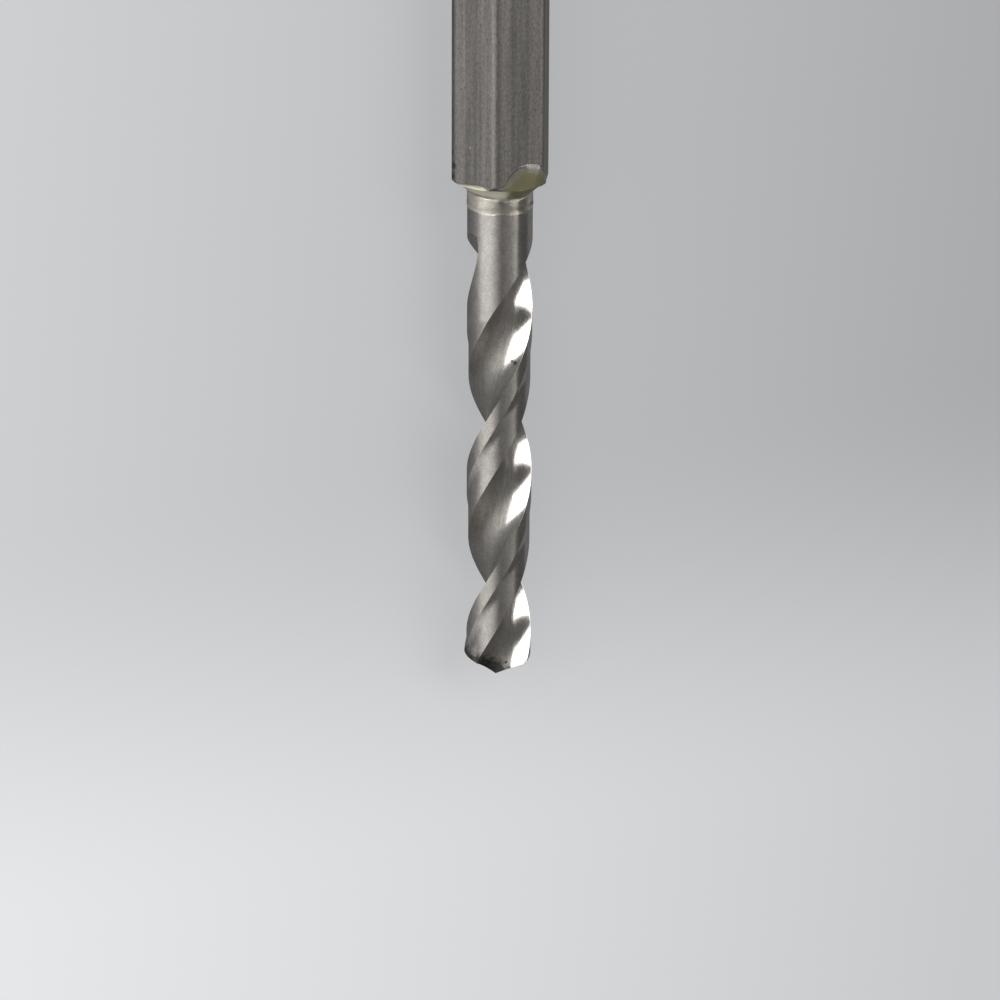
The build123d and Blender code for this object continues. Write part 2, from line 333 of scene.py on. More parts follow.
ground_steel = bpy.data.materials.new("ground_high_speed_steel")
drill_mesh = mesh_from_tree("ground_drill", fluted_tree("wind_flutes", ground_steel), DRILL_INPUTS)
print("wound drill:", len(drill_mesh.polygons), "faces")

# %% [markdown]
# ## The ground point
# The point is ground last: on each side a narrow lip facet, and behind it a
# steeper heel facet, so only the lips touch the work. Each facet is a plane
# that cuts the wound mesh, and the cut is filled. The far end, deep in the
# shank's bore, gets a plain chamfer.

# %% Cut the mesh by planes
POINT_ANGLE = math.radians(135)
LIP_RELIEF = math.radians(12)
HEEL_RELIEF = math.radians(32)
LIP_FACET_WIDTH = 0.55 * MM
# A point that is nearer than this to a cutting plane lies on it
CUT_DISTANCE = 1e-8


def fill_open_rims(drill):
    """Closes each open rim of the mesh with one face."""
    rims = [edge for edge in drill.edges if edge.is_boundary]
    bmesh.ops.holes_fill(drill, edges=rims)


def cut(drill, place, inward, **settings):
    """Cuts the mesh's faces along a plane."""
    everything = drill.verts[:] + drill.edges[:] + drill.faces[:]
    plane = {"plane_co": place, "plane_no": inward}
    bmesh.ops.bisect_plane(drill, geom=everything, dist=CUT_DISTANCE, **plane, **settings)


def grind(drill, place, inward):
    """Takes away what lies on the outer side of a plane, and closes the cut."""
    cut(drill, place, inward, clear_inner=True)
    fill_open_rims(drill)


drill = bmesh.new()
drill.from_mesh(drill_mesh)
fill_open_rims(drill)
for side_turn in (0.0, math.pi):
    turn = LEADING_EDGE_AT_POINT + side_turn
    across = Vector((math.cos(turn), 0, -math.sin(turn)))
    along = Vector((0, 1, 0))
    behind = along.cross(across)
    for relief, start in ((LIP_RELIEF, 0.0), (HEEL_RELIEF, LIP_FACET_WIDTH)):
        lift = start * (math.tan(LIP_RELIEF) - math.tan(relief))
        place = Vector((0, POINT_Y + lift, AXIS_HEIGHT))
        inward = along - across / math.tan(POINT_ANGLE / 2) - behind * math.tan(relief)
        grind(drill, place, inward)
print("drill after grinding:", len(drill.faces), "faces")

# %% [markdown]
# One outer corner of the point is worn: a small burr stands out from the land
# there. The mesh is pushed out a little, most in the middle of the burr.

# %% Push out the burr
BURR_STATION, BURR_HALF_LENGTH = 1.5 * MM, 1.0 * MM
BURR_TURN, BURR_HALF_TURN = math.radians(190), math.radians(28)
BURR_HEIGHT = 0.18 * MM
# Only what lies this far out is land, and not flute
LAND_FROM = 0.9 * DRILL_RADIUS

moved = 0
for vert in drill.verts:
    off_axis = Vector((vert.co.x, 0, vert.co.z - AXIS_HEIGHT))
    along = (vert.co.y - POINT_Y - BURR_STATION) / BURR_HALF_LENGTH
    turned = (math.atan2(off_axis.z, off_axis.x) % (2 * math.pi) - BURR_TURN) / BURR_HALF_TURN
    if max(abs(along), abs(turned)) < 1 and off_axis.length > LAND_FROM:
        height = BURR_HEIGHT * (1 - along**2) * (1 - turned**2)
        vert.co += off_axis.normalized() * height
        moved += 1
print("points moved by the burr:", moved)

# %% Chamfer the hidden end and keep the drill as an object
HIDDEN_END_CHAMFER = 0.3 * MM
MERGE_DISTANCE = 0.0005 * MM


def finished_piece(name, mesh, material, sharp_angle=30):
    """A smooth-shaded object at the origin whose edges stay sharp above an angle in degrees."""
    mesh.materials.clear()
    mesh.materials.append(material)
    mesh.shade_smooth()
    mesh.set_sharp_from_angle(angle=math.radians(sharp_angle))
    print(f"{name}: {len(mesh.polygons)} faces")
    return in_scene(name, mesh)


cut(drill, Vector((0, HIDDEN_END_Y - HIDDEN_END_CHAMFER, 0)), (0, 1, 0))
kept = 1 - HIDDEN_END_CHAMFER / DRILL_RADIUS
for vert in drill.verts:
    if vert.co.y > HIDDEN_END_Y - MERGE_DISTANCE:
        vert.co.x *= kept
        vert.co.z = AXIS_HEIGHT + (vert.co.z - AXIS_HEIGHT) * kept
bmesh.ops.recalc_face_normals(drill, faces=drill.faces)
drill.to_mesh(drill_mesh)
drill.free()
ground_drill = finished_piece("ground_drill", drill_mesh, ground_steel)

# %% [markdown]
# ## The drawn hexagon
# Hexagon bar is pulled through a die, which rounds its six corners a little,
# and is then turned: a small rounding at the nose, a ring groove for the
# holder's ball and a chamfer at the drive end. Every point of it is at the
# smaller of two distances from the axis: the hexagon's at that angle, and the
# turned outline's at that place along the bar. So a grid of angles and places
# makes the whole shank, and goes on round the nose into the bore.

# %% Distances of the hexagon and of the turned outline from the axis
HEX_CORNER_RADIUS = 0.60 * MM
# Matched again
HEX_NOSE_ROUNDING = 0.38 * MM
DRIVE_CHAMFER_LENGTH = 0.75 * MM
GROOVE_Y = DRIVE_END_Y - 9.5 * MM
GROOVE_FLOOR_RADIUS = 2.475 * MM
GROOVE_HALF_FLOOR = 0.6 * MM
BORE_DEPTH = 12.0 * MM
BORE_HALF_ANGLE = math.radians(59)
BORE_CONE_LENGTH = DRILL_RADIUS / math.tan(BORE_HALF_ANGLE)
HEX_TURN = math.radians(30)
SIDE_ANGLE = math.radians(60)
CORNER_CENTRE = (ACROSS_FLATS / 2 - HEX_CORNER_RADIUS) / math.cos(SIDE_ANGLE / 2)
CORNER_RADIUS = CORNER_CENTRE + HEX_CORNER_RADIUS


def off_flat_angle(angle):
    """How far each angle round the axis, from +X towards +Z, is from the middle of its flat."""
    return (angle - HEX_TURN + SIDE_ANGLE / 2) % SIDE_ANGLE - SIDE_ANGLE / 2


def hexagon_radius(angle):
    """Distance from the axis to the rounded hexagon at each angle."""
    off_flat = off_flat_angle(angle)
    off_corner = SIDE_ANGLE / 2 - np.abs(off_flat)
    flat = ACROSS_FLATS / 2 / np.cos(off_flat)
    aside = np.minimum(CORNER_CENTRE * np.sin(off_corner), HEX_CORNER_RADIUS)
    corner = CORNER_CENTRE * np.cos(off_corner) + np.sqrt(HEX_CORNER_RADIUS**2 - aside**2)
    half_flat = (ACROSS_FLATS / 2 - HEX_CORNER_RADIUS) * math.tan(SIDE_ANGLE / 2)
    return np.where(ACROSS_FLATS / 2 * np.abs(np.tan(off_flat)) < half_flat, flat, corner)


def turned_radius(y):
    """Furthest from the axis that the turned outline lets the shank reach at each place."""
    before_end = np.clip(NOSE_Y + HEX_NOSE_ROUNDING - y, 0, HEX_NOSE_ROUNDING)
    nose = CORNER_RADIUS - HEX_NOSE_ROUNDING + np.sqrt(HEX_NOSE_ROUNDING**2 - before_end**2)
    drive = CORNER_RADIUS - np.maximum(y - (DRIVE_END_Y - DRIVE_CHAMFER_LENGTH), 0)
    groove = GROOVE_FLOOR_RADIUS + np.hypot(y - GROOVE_Y, GROOVE_HALF_FLOOR) - GROOVE_HALF_FLOOR
    return np.minimum(np.minimum(nose, drive), groove)


def steel_radius(angles, y):
    """The shank's surface at these angles and places."""
    return np.minimum(hexagon_radius(angles), turned_radius(y))


print(f"hexagon's corners reach {CORNER_RADIUS / MM:.3f} mm from the axis")

# %% [markdown]
# Two helpers turn rows of rings into a closed mesh, with a single point in
# the middle of the first and of the last ring.

# %% Make the shank's rows and its mesh
AROUND_HEX = 288
GROOVE_HALF_LENGTH = 1.8 * MM
ROW_GAP = 0.1 * MM
# Stretches of the bar, and how many rows each gets: close ones where something was turned
STRETCHES = [
    (NOSE_Y, NOSE_Y + HEX_NOSE_ROUNDING, 22),
    (NOSE_Y + 0.6 * MM, GROOVE_Y - GROOVE_HALF_LENGTH - ROW_GAP, 40),
    (GROOVE_Y - GROOVE_HALF_LENGTH, GROOVE_Y + GROOVE_HALF_LENGTH, 56),
    (GROOVE_Y + GROOVE_HALF_LENGTH + ROW_GAP, DRIVE_END_Y - 0.8 * MM, 12),
    (DRIVE_END_Y - DRIVE_CHAMFER_LENGTH, DRIVE_END_Y, 20),
]


def join_rings(mesh, row, next_row):
    """Faces between two rings of points."""
    for i in range(len(row)):
        j = (i + 1) % len(row)
        mesh.faces.new((row[i], row[j], next_row[j], next_row[i]))


def ring_mesh(name, rings):
    """A closed mesh from rings of points. The first and the last ring are closed by a point."""
    mesh = bmesh.new()
    rows = [[mesh.verts.new(point) for point in ring] for ring in rings]
    poles = [mesh.verts.new(np.mean(ring, axis=0)) for ring in (rings[0], rings[-1])]
    for row, next_row in zip(rows, rows[1:]):
        join_rings(mesh, row, next_row)
    for i in range(len(rows[0])):
        j = (i + 1) % len(rows[0])
        mesh.faces.new((poles[0], rows[0][j], rows[0][i]))
        mesh.faces.new((poles[1], rows[-1][i], rows[-1][j]))
    bmesh.ops.recalc_face_normals(mesh, faces=mesh.faces)
    result = bpy.data.meshes.new(name)
    mesh.to_mesh(result)
    mesh.free()
    return result


def around_axis(angle, radius, y):
    """Points at these angles round the axis, at a distance from it and a place along it."""
    x = radius * np.cos(angle)
    z = AXIS_HEIGHT + radius * np.sin(angle)
    return np.stack([x, np.broadcast_to(y, x.shape), z], axis=1)


hex_angles = np.arange(AROUND_HEX) * 2 * math.pi / AROUND_HEX
bore_end = NOSE_Y + BORE_DEPTH
# The bore: its radius as a share of the drill's, and its place. Then the outside, and the drive end
bore = [(0.5, bore_end + BORE_CONE_LENGTH / 2), (1.0, bore_end), (1.0, NOSE_Y), (1.15, NOSE_Y)]
profile = [(share * DRILL_RADIUS, y) for share, y in bore]
for stretch in STRETCHES:
    profile += [(steel_radius(hex_angles, y), y) for y in np.linspace(*stretch)]
profile.append((DRILL_RADIUS, DRIVE_END_Y))
hex_rings = [around_axis(hex_angles, radius, y) for radius, y in profile]
hex_mesh = ring_mesh("drawn_hexagon", hex_rings)

# Each point keeps how far it is from the middle of its flat, in millimetres
off_middle = hex_mesh.attributes.new("off_flat_middle", "FLOAT", "POINT")
for vert, stored in zip(hex_mesh.vertices, off_middle.data):
    off_flat = off_flat_angle(math.atan2(vert.co.z - AXIS_HEIGHT, vert.co.x))
    stored.value = -ACROSS_FLATS / 2 * math.tan(off_flat) / MM
drawn_steel = bpy.data.materials.new("cold_drawn_steel")
drawn_hexagon = finished_piece("drawn_hexagon", hex_mesh, drawn_steel)

# %% [markdown]
# ## The resin
# The shank is filled with clear resin before the drill goes in, and some is
# pushed out. It creeps down the drill's neck as a thin film with a wavy edge,
# fills the corner under the nose, and one drop of it ran up over a flat. It is
# one skin: for each angle round the axis a profile runs from the film's edge
# up the neck, across the corner, round the nose and up the flat. The outer
# rows stand proud of the steel, and the inner rows lie just inside it, so the
# skin is closed and no gap shows.

# %% Where the resin ends on the neck and on the flats
FILM_LENGTH = 2.15 * MM
AROUND_RESIN = 360
# Neighbours on each side that an outline's kinks are blurred over
BLUR = 3
# How high the resin stands over the nose, in millimetres, at angles round the axis in degrees
RESIN_OUTLINE = [
    (0, 0.10), (30, 0.15), (40, 0.35), (46, 0.60), (53, 1.00), (60, 1.42), (68, 1.72),
    (76, 1.83), (83, 1.80), (89, 1.70), (97, 1.48), (103, 1.16), (108, 0.82), (112, 0.48),
    (116, 0.12), (124, 0.04), (129, 0.16), (135, 0.34), (150, 0.30), (163, 0.18), (173, 0.16),
    (180, 0.10), (220, 0.15), (240, 0.02), (300, 0.02), (330, 0.20), (360, 0.10),
]
# How thick the resin is over the nose, in millimetres
THICKNESS_OUTLINE = [
    (0, 0.03), (44, 0.04), (58, 0.15), (70, 0.24), (81, 0.29), (89, 0.26), (98, 0.18),
    (108, 0.08), (116, 0.03), (124, 0.03), (130, 0.09), (140, 0.13), (163, 0.08),
    (180, 0.04), (240, 0.02), (300, 0.02), (330, 0.05), (360, 0.03),
]
# How far the collar reaches down the neck, in millimetres
COLLAR_OUTLINE = [
    (0, 0.80), (25, 0.72), (60, 1.0), (90, 1.12), (115, 1.08), (150, 0.92), (200, 0.8), (360, 0.8),
]
# How much milky cream the resin gets, full at 1 and clear at 0: painted light on the side where the
# left lamp falls
LIT_SIDE_CREAM = [(150, 1.0), (185, 0.8), (240, 0.2), (360, 0.2)]
LIT_COLLAR_CREAM = [(0, 0.2), (60, 0.0), (99, 0.0), (107, 0.8), (114, 1.0)] + LIT_SIDE_CREAM
LIT_DROP_CREAM = [(0, 0.2), (60, 0.0), (115, 0.0), (122, 1.0)] + LIT_SIDE_CREAM
# The film gets a little of the painted cream too
FILM_CREAM = 0.1

resin_angles = np.arange(AROUND_RESIN) * 2 * math.pi / AROUND_RESIN


def outline_at(table):
    """The values of an outline table round the ring, with its kinks blurred."""
    values = np.interp(np.degrees(resin_angles), *np.transpose(table))
    return np.mean([np.roll(values, shift) for shift in range(-BLUR, BLUR + 1)], axis=0)


def wandering(*waves):
    """A factor round the ring that wanders about 1. Each wave is (size, bumps, seed)."""
    factor = np.ones(AROUND_RESIN)
    for height, bumps, seed in waves:
        factor += height * np.array([
            noise.noise((math.cos(angle) * bumps, math.sin(angle) * bumps, seed))
            for angle in resin_angles
        ])
    return factor


resin_top = outline_at(RESIN_OUTLINE) * MM * wandering((0.06, 5.0, 3.0))
film_edge = FILM_LENGTH * wandering((0.12, 1.6, 4.0), (0.02, 7.0, 9.0))
collar_edge = outline_at(COLLAR_OUTLINE) * MM * wandering((0.06, 5.0, 7.0))
drop_thickness = outline_at(THICKNESS_OUTLINE) * MM
collar_cream, drop_cream = outline_at(LIT_COLLAR_CREAM), outline_at(LIT_DROP_CREAM)
print(f"film reaches {film_edge.min() / MM:.2f} to {film_edge.max() / MM:.2f} mm below the nose")

# %% Follow the resin's profile at every angle, outside and inside
FILM_ROWS, COLLAR_ROWS, DROP_ROWS = 24, 14, 28
FILM_THICKNESS = 0.02 * MM
BEAD_THICKNESS = 0.04 * MM
BEAD_WIDTH = 0.55 * MM
RESIN_SUNK = 0.04 * MM
# Powers that shape the profile: the collar's hollow, the drop's crown and edge, and its sunk rim
COLLAR_HOLLOW, DROP_CROWN, DROP_EDGE, RIM_TUCK = 1.15, 2.0, 0.9, 12
# Resin of this thickness looks fully deep. The collar and the drop look deeper than they are thick
DEEP = 0.30 * MM
COLLAR_DEPTH, DROP_DEPTH, NOSE_FADE = 2.2, 1.6, 4

# The resin stays over what the bit lies on, and inside the hexagon's corners
to_ground = AXIS_HEIGHT / np.maximum(-np.sin(resin_angles), 0.1)
furthest = np.minimum(to_ground, CORNER_RADIUS)
nose_radius = np.minimum(steel_radius(resin_angles, NOSE_Y) + drop_thickness, furthest)
neck_inside = DRILL_RADIUS - RESIN_SUNK
# Each step up the profile is an outer ring, an inner ring, how deep it looks and how much painted
# cream it gets
steps = []
for share in np.linspace(0, 1, FILM_ROWS):
    from_edge = share * (film_edge - collar_edge)
    y = NOSE_Y - film_edge + from_edge
    crown = np.clip(1 - (2 * from_edge / BEAD_WIDTH - 1) ** 2, 0, 1)
    skin = np.maximum(BEAD_THICKNESS * np.sqrt(crown), FILM_THICKNESS) if share else -RESIN_SUNK
    depth = (skin - FILM_THICKNESS) / DEEP
    steps.append(((DRILL_RADIUS + skin, y), (neck_inside, y), depth, FILM_CREAM))
for share in np.linspace(0, 1, COLLAR_ROWS)[1:]:
    y = NOSE_Y - collar_edge * (1 - share)
    thin = DRILL_RADIUS + FILM_THICKNESS
    radius = thin + share**COLLAR_HOLLOW * (nose_radius - thin)
    inner_y = y if share < 1 else NOSE_Y + RESIN_SUNK
    steps.append(((radius, y), (neck_inside, inner_y), COLLAR_DEPTH * share, collar_cream))
for share in np.linspace(0, 1, DROP_ROWS)[1:]:
    y = NOSE_Y + share * resin_top
    proud = drop_thickness * (1 - share**DROP_CROWN) ** DROP_EDGE - RESIN_SUNK * share**RIM_TUCK
    steel = steel_radius(resin_angles, y)
    inner_y = np.maximum(y, NOSE_Y + RESIN_SUNK) if share < 1 else y
    depth = DROP_DEPTH * np.maximum(proud, 0) / DEEP + (1 - share) ** NOSE_FADE
    outer = (np.minimum(steel + proud, furthest), y)
    steps.append((outer, (steel - RESIN_SUNK, inner_y), depth, drop_cream))

# %% Join the rows into a closed skin
skin_rows = [(outer, depth, step_cream) for outer, inner, depth, step_cream in steps]
skin_rows += [(inner, depth, step_cream) for outer, inner, depth, step_cream in steps[-2:0:-1]]
resin = bmesh.new()
depth_layer = resin.verts.layers.float.new("resin_depth")
cream_layer = resin.verts.layers.float.new("resin_lit_cream")
rows = []
for ring, depth, step_cream in skin_rows:
    row = [resin.verts.new(point) for point in around_axis(resin_angles, *ring)]
    row_depths = np.broadcast_to(np.clip(depth, 0, 1), AROUND_RESIN)
    for vert, deep, cream_amount in zip(row, row_depths, np.broadcast_to(step_cream, AROUND_RESIN)):
        vert[depth_layer] = deep
        vert[cream_layer] = cream_amount
    rows.append(row)
for row, next_row in zip(rows, rows[1:] + rows[:1]):
    join_rings(resin, row, next_row)
bmesh.ops.remove_doubles(resin, verts=resin.verts, dist=MERGE_DISTANCE)
bmesh.ops.recalc_face_normals(resin, faces=resin.faces)
resin_mesh = bpy.data.meshes.new("bond_resin_skin")
resin.to_mesh(resin_mesh)
resin.free()
cured_resin = bpy.data.materials.new("cured_epoxy_resin")
resin_skin = finished_piece("resin_skin", resin_mesh, cured_resin, sharp_angle=50)

# %% [markdown]
# ## Which piece stands for which solid
# The three pieces replace the three plain solids. Nothing moves in a bonded
# bit, so all of them ride on the one body.

# %% Tie the pieces to the frame
for piece, node, slot in (
    (ground_drill, "twist_drill", "ground_steel"),
    (drawn_hexagon, "hex_shank", "drawn_steel"),
    (resin_skin, "bond_resin", "cured_resin"),
):
    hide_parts(node)
    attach(piece, "root")
    print(piece.name, "replaces", node)

# %% [markdown]
# ## Finishes
# Each finish is a node tree on the piece's own Object coordinates, so it stays
# put when the bit is turned or moved. Colours are written as sRGB hex values
# and turned linear by one function.

# %% Colour and tree helpers
def linear(hex_colour):
    """The linear RGBA of an sRGB hex colour."""
    parts = [int(hex_colour[i:i + 2], 16) / 255 for i in (0, 2, 4)]
    return (*[p / 12.92 if p <= 0.04045 else ((p + 0.055) / 1.055) ** 2.4 for p in parts], 1.0)


def emptied_tree(owner):
    """The emptied node tree of a material or world."""
    owner.use_nodes = True
    owner.node_tree.nodes.clear()
    return owner.node_tree


print("mid grey 808080 is linear", round(linear("808080")[0], 3))

# %% [markdown]
# ## Ground high-speed steel
# A grinding wheel leaves fine lines in the direction that it passed. In the
# flutes it runs along the helix, so the lines do too, and they spread each
# reflection across the flute. On the neck and the lands the wheel passes
# across, and its marks spread the light along the helix. Steel that is ground
# like this mirrors the room as soft streaks, which an anisotropic shader gives
# when its tangent follows the marks. Both directions come from the place on
# the drill, so they hold at every turn of the flutes.

# %% Directions of the grinding marks
tree = emptied_tree(ground_steel)
place = add(tree, "ShaderNodeTexCoord").outputs["Object"]
from_axis = add(tree, VECTOR_MATH, [place, (0, 0, AXIS_HEIGHT)], operation="SUBTRACT")
off_axis = add(tree, "ShaderNodeSeparateXYZ", [from_axis]).outputs
backwards = add(tree, MATH, [off_axis["X"], -1.0], operation="MULTIPLY")
rise_per_radian = FLUTE_LEAD / (2 * math.pi)
along_flute = add(tree, "ShaderNodeCombineXYZ", [off_axis["Z"], rise_per_radian, backwards])
normal = add(tree, "ShaderNodeNewGeometry").outputs["Normal"]
crossed = add(tree, VECTOR_MATH, [normal, along_flute], operation="CROSS_PRODUCT")
across_helix = add(tree, VECTOR_MATH, [crossed], operation="NORMALIZE")
wheel_ground = add(tree, "ShaderNodeAttribute", attribute_name="wheel_ground").outputs["Fac"]
marks_run = {"Factor": wheel_ground, "A": along_flute, "B": across_helix}
tangent = add(tree, MIX, marks_run, data_type="VECTOR")
# Turned back by the flute's own turn, each point of the section keeps one place all along the drill
flute_turn = add(tree, MATH, [off_axis["Y"], -1 / rise_per_radian], operation="MULTIPLY")
turned_back = {"Vector": from_axis, "Angle": flute_turn}
unwound = add(tree, "ShaderNodeVectorRotate", turned_back, rotation_type="Y_AXIS")
print(f"the flute climbs {rise_per_radian / MM:.2f} mm a radian")

# %% [markdown]
# Real grinding lines are a few hundredths of a millimetre apart, finer than a
# pixel here, so they are drawn about three times as coarse. Under them lie a
# fine mottling, smudges and wide, faint stains. Each kind of grain multiplies
# the tone of the steel by a value around one.

# %% Grain of the ground steel
def grain(tree, coordinates, across, along, low, high, darkest, lightest):
    """Noise of a size across and along in millimetres, and the tone it gives between two values."""
    scale = (1 / (across * MM), 1 / (along * MM), 1 / (across * MM))
    scaled = add(tree, "ShaderNodeMapping", {"Vector": coordinates, "Scale": scale})
    spots = add(tree, "ShaderNodeTexNoise", {"Vector": scaled, "Scale": 1.0, "Detail": 3.0})
    value = spots.outputs["Fac"]
    return value, add(tree, MAP_RANGE, [value, low, high, darkest, lightest])


# The lines run with the flutes and show only in them
lines, lines_tone = grain(tree, unwound, 0.09, 3.0, 0.32, 0.68, 0.90, 1.10)
tone = add(tree, MIX, {"Factor": wheel_ground, "A": 1.0, "B": lines_tone})
# Size across and along in millimetres, the noise values that are darkest and lightest, their tones
STEEL_GRAINS = {
    "mottling": (0.12, 0.12, 0.32, 0.68, 0.84, 1.12),
    "smudges": (0.32, 0.60, 0.32, 0.68, 0.92, 1.07),
    "stains": (1.1, 1.7, 0.32, 0.68, 0.94, 1.05),
}
for measures in STEEL_GRAINS.values():
    tone = add(tree, MATH, [tone, grain(tree, place, *measures)[1]], operation="MULTIPLY")
print("grains of the ground steel: lines,", ", ".join(STEEL_GRAINS))

# %% [markdown]
# The drill has been used. Its leading edges are chipped in places, a few small
# pits and specks of dirt lie on it, and it is darker towards its point.

# %% Chips, pits, and darkening towards the point
def with_marks(tree, tone, place, marks):
    """The tone with marks in it: where each is and how wide, in millimetres, and its own tone."""
    for centre, width, own_tone in marks:
        centre_place = [part * MM for part in centre]
        away = add(tree, VECTOR_MATH, [place, centre_place], operation="DISTANCE")
        mark = add(tree, MAP_RANGE, [away, width / 2 * MM, width * MM, own_tone, 1.0])
        tone = add(tree, MATH, [tone, mark], operation="MULTIPLY")
    return tone


STEEL_MARKS = [
    ((1.628, -4.258, 3.635), 0.13, 0.35),
    ((0.348, -8.744, 4.994), 0.20, 0.25),
    ((0.239, -8.668, 4.733), 0.15, 0.30),
    ((0.233, -31.377, 3.957), 0.14, 0.25),
]
tone = with_marks(tree, tone, place, STEEL_MARKS)

noise_inputs = {"Vector": place, "Scale": 1 / (0.3 * MM), "Detail": 3.0}
blots = add(tree, "ShaderNodeTexNoise", noise_inputs).outputs["Fac"]
across_flute = add(tree, "ShaderNodeAttribute", attribute_name="across_flute").outputs["Fac"]
at_edge = add(tree, MAP_RANGE, [across_flute, 0.95, 0.99, 0.0, 1.0])
chipped = add(tree, MAP_RANGE, [blots, 0.50, 0.58, 0.0, 0.6])
edge_chips = add(tree, MATH, [at_edge, chipped], operation="MULTIPLY")
unchipped = add(tree, MATH, [1.0, edge_chips], operation="SUBTRACT")
tone = add(tree, MATH, [tone, unchipped], operation="MULTIPLY")
# Darker towards the point, reaching further up on one side
from_point = add(tree, MATH, [off_axis["Y"], POINT_Y], operation="SUBTRACT")
slanted = add(tree, MATH, [off_axis["X"], 0.5, from_point], operation="MULTIPLY_ADD")
ragged = add(tree, MATH, [blots, 1.6 * MM, slanted], operation="MULTIPLY_ADD")
point_darkening_edge = [ragged, 1.1 * MM, 2.1 * MM, 0.2, 1.0]
point_darkening = add(tree, MAP_RANGE, point_darkening_edge, interpolation_type="SMOOTHSTEP")
tone = add(tree, MATH, [tone, point_darkening], operation="MULTIPLY")
print(len(STEEL_MARKS), "marks on the drill")

# %% Shader of the ground steel
# To the eye: bright, slightly warm steel, streaked along the helix, with soft blurred mirror images
toned = {0: linear("CEC9C2")[:3], "Scale": tone}
steel_colour = add(tree, VECTOR_MATH, toned, operation="SCALE")
# Chips slide up the flute along its cutting edge, and rub that side of it smooth
rubbed = [across_flute, 0.42, 0.85, 0.38, 0.13]
flute_roughness = add(tree, MAP_RANGE, rubbed, interpolation_type="SMOOTHSTEP")
roughness = add(tree, MIX, {"Factor": wheel_ground, "A": 0.28, "B": flute_roughness})
line_height = add(tree, MATH, [lines, wheel_ground], operation="MULTIPLY")
bump = add(tree, "ShaderNodeBump", {"Height": line_height, "Strength": 0.5, "Distance": 0.004 * MM})
ground_finish = {
    "Base Color": steel_colour, "Metallic": 1.0, "Roughness": roughness,
    "Anisotropic": 0.85, "Tangent": tangent, "Normal": bump,
}
add(tree, "ShaderNodeOutputMaterial", [add(tree, "ShaderNodeBsdfPrincipled", ground_finish)])
print("finished", ground_steel.name)

# %% [markdown]
# ## Cold-drawn steel
# Bar that is drawn through a die keeps a dull grey skin with faint streaks
# along it, small blotches and pits. The middle of each flat gets a darker
# band, and the rounded corners are darkened a little: painted shade where the
# flats and corners mirror less light. Each point's distance from the middle of
# its flat was kept on the mesh, so the bands follow the flats.

# %% Grain of the drawn steel
tree = emptied_tree(drawn_steel)
place = add(tree, "ShaderNodeTexCoord").outputs["Object"]
# Size across and along in millimetres, the noise values that are darkest and lightest, their tones
DRAWN_GRAINS = {
    "streaks": (0.30, 7.0, 0.36, 0.64, 0.88, 1.12),
    "blotches": (0.13, 0.26, 0.34, 0.66, 0.84, 1.14),
    "pits": (0.08, 0.11, 0.32, 0.42, 0.66, 1.0),
}
tone = 1.0
heights = []
for measures in DRAWN_GRAINS.values():
    height, grain_tone = grain(tree, place, *measures)
    tone = add(tree, MATH, [tone, grain_tone], operation="MULTIPLY")
    heights.append(height)
print("grains of the drawn steel:", ", ".join(DRAWN_GRAINS))

# %% Painted shade along the flats and at the corners, and small marks
off_middle = add(tree, "ShaderNodeAttribute", attribute_name="off_flat_middle").outputs["Fac"]
from_middle = add(tree, MATH, [off_middle], operation="ABSOLUTE")
# Where the painted shade band fades out and the painted shade at the corner sets in, in millimetres
# from the flat's middle
SHADE_BAND_EDGE, SHADE_CORNER_EDGE = (0.60, 0.72), (1.35, 1.55)
# Both zones darken the steel's tone: painted shade
for shade_zone in ((*SHADE_BAND_EDGE, 0.82, 1.0), (*SHADE_CORNER_EDGE, 1.0, 0.86)):
    painted_shade_tone = add(tree, MAP_RANGE, [from_middle, *shade_zone])
    tone = add(tree, MATH, [tone, painted_shade_tone], operation="MULTIPLY")
# A speck of pale dust, and dark chips where one corner meets the nose
DRAWN_MARKS = [
    ((-2.876, 7.071, 4.543), 0.10, 2.2),
    ((-3.47, 4.80, 3.25), 0.32, 0.45),
    ((-3.52, 5.55, 3.30), 0.36, 0.45),
    ((-3.54, 6.45, 3.10), 0.28, 0.55),
]
tone = with_marks(tree, tone, place, DRAWN_MARKS)
print(f"the darker band is about {sum(SHADE_BAND_EDGE):.2f} mm wide")

# %% Shader of the drawn steel
# To the eye: dull grey metal that spreads the light, faintly streaked and pitted
toned = {0: linear("9A9692")[:3], "Scale": tone}
drawn_colour = add(tree, VECTOR_MATH, toned, operation="SCALE")
# The blotches and the pits are felt too
height = add(tree, MATH, heights[1:], operation="ADD")
bump = add(tree, "ShaderNodeBump", {"Height": height, "Strength": 0.3, "Distance": 0.015 * MM})
drawn_finish = {"Base Color": drawn_colour, "Metallic": 1.0, "Roughness": 0.45, "Normal": bump}
add(tree, "ShaderNodeOutputMaterial", [add(tree, "ShaderNodeBsdfPrincipled", drawn_finish)])
print("finished", drawn_steel.name)

# %% [markdown]
# ## Cured epoxy resin
# The thin film on the neck is clear. The thicker it is, the more olive it
# looks. On the left, where the lamp falls, it is made milky and cream, which
# is painted light. The mesh keeps both: how deep the resin is, and how much cream.

# %% Shader of the resin
# To the eye: glossy and clear where thin, olive in the drop, and cream on the lit left side, which
# is painted light
tree = emptied_tree(cured_resin)
depth = add(tree, "ShaderNodeAttribute", attribute_name="resin_depth").outputs["Fac"]
cream_amount = add(tree, "ShaderNodeAttribute", attribute_name="resin_lit_cream").outputs["Fac"]
